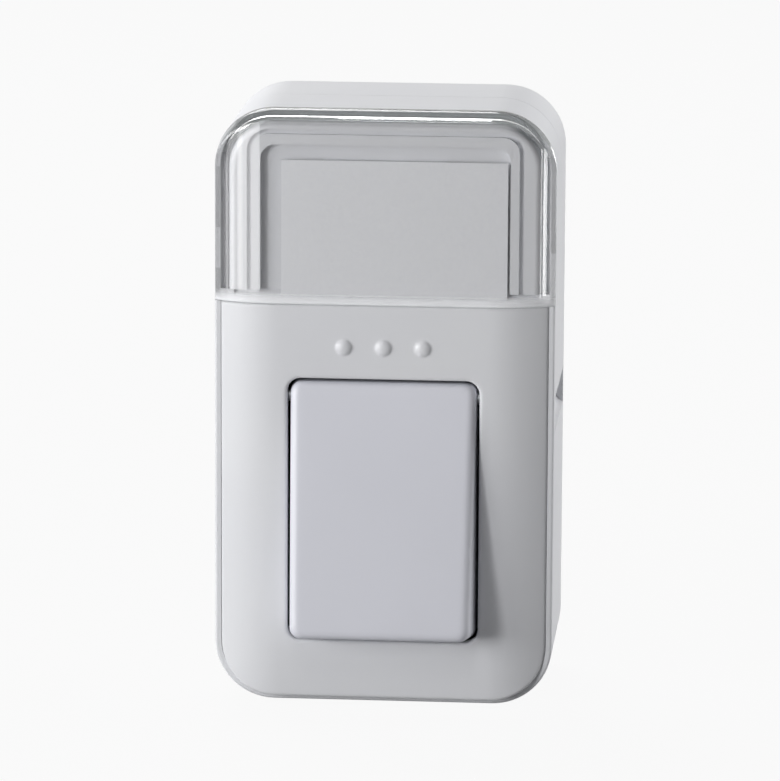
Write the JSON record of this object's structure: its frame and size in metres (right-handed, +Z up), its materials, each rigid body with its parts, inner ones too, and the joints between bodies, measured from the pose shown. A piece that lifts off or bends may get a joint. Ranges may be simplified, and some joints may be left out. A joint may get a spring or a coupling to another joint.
{
  "type": "wireless doorbell push",
  "caption": "Wall-mounted wireless doorbell push with a sloped hinged button, a clear label cover and a press generator inside.",
  "frame": {"origin": "middle of the flat face that goes against the wall", "axes": "+X to the viewer's right, +Y into the wall, +Z up, so the button faces -Y"},
  "size_m": [0.048, 0.033, 0.0852],
  "materials": {
    "case_white": "fine satin moulded ABS",
    "cover_white": "satin moulded ABS with a very fine grain",
    "button_white": "satin moulded ABS",
    "clear_plastic": "polished clear polycarbonate",
    "printed_card": "plain matt white card",
    "foam_tape": "closed-cell foam tape",
    "steel_pin": "ground steel",
    "spring_steel": "drawn spring steel",
    "zinc_steel": "bright zinc plate",
    "board_laminate": "green solder resist",
    "chip_epoxy": "matt black epoxy",
    "crystal_can": "plated steel can",
    "capacitor_can": "drawn aluminium can",
    "copper_wire": "enamelled copper",
    "core_iron": "stamped soft iron",
    "bobbin_plastic": "black glass-filled nylon",
    "tinned_pins": "tinned wire",
    "magnet_ferrite": "dull plated magnet",
    "rocker_plastic": "black acetal",
    "cradle_plastic": "dark grey polyester"
  },
  "bodies": {
    "case": {"wall_shell": "case_white", "adhesive_pad": "foam_tape", "front_housing": "case_white", "front_cover": "cover_white", "label_card": "printed_card", "hinge_pin": "steel_pin", "return_spring_left": "spring_steel", "return_spring_right": "spring_steel", "circuit_board": "board_laminate", "board_screws": "zinc_steel", "radio_chip": "chip_epoxy", "timing_crystal": "crystal_can", "storage_capacitor": "capacitor_can", "rectifier_bridge": "chip_epoxy", "antenna_coil": "copper_wire", "iron_core": "core_iron", "coil_bobbin": "bobbin_plastic", "coil_winding": "copper_wire", "coil_terminals": "tinned_pins", "rocker_pin": "steel_pin", "generator_cradle": "cradle_plastic"},
    "button": {"push_button": "button_white"},
    "rocker": {"rocker_block": "rocker_plastic", "magnet_block": "magnet_ferrite", "rear_pole_plate": "core_iron", "front_pole_plate": "core_iron", "drive_spring": "spring_steel"},
    "label_window": {"clear_cover": "clear_plastic"}
  },
  "joints": [
    {"name": "button_hinge", "type": "hinge", "parent": "case", "child": "button", "pos_m": [0, -0.0246, 0.0016], "axis": [1, 0, 0], "range_deg": [0, 8], "stiffness_Nm_per_rad": 0.4, "springref_deg": -8.59, "deforming": ["return_spring_left", "return_spring_right"]},
    {"name": "rocker_hinge", "type": "hinge", "parent": "case", "child": "rocker", "pos_m": [0, -0.01085, -0.0094], "axis": [1, 0, 0], "range_deg": [0, 7.2], "deforming": ["drive_spring"]},
    {"name": "cover_lift", "type": "slide", "parent": "case", "child": "label_window", "axis": [0, -1, 0], "range_m": [0, 0.008]}
  ],
  "couplings": [
    {"joint": "rocker_hinge", "follows": "button_hinge", "ratio": 0.9}
  ]
}
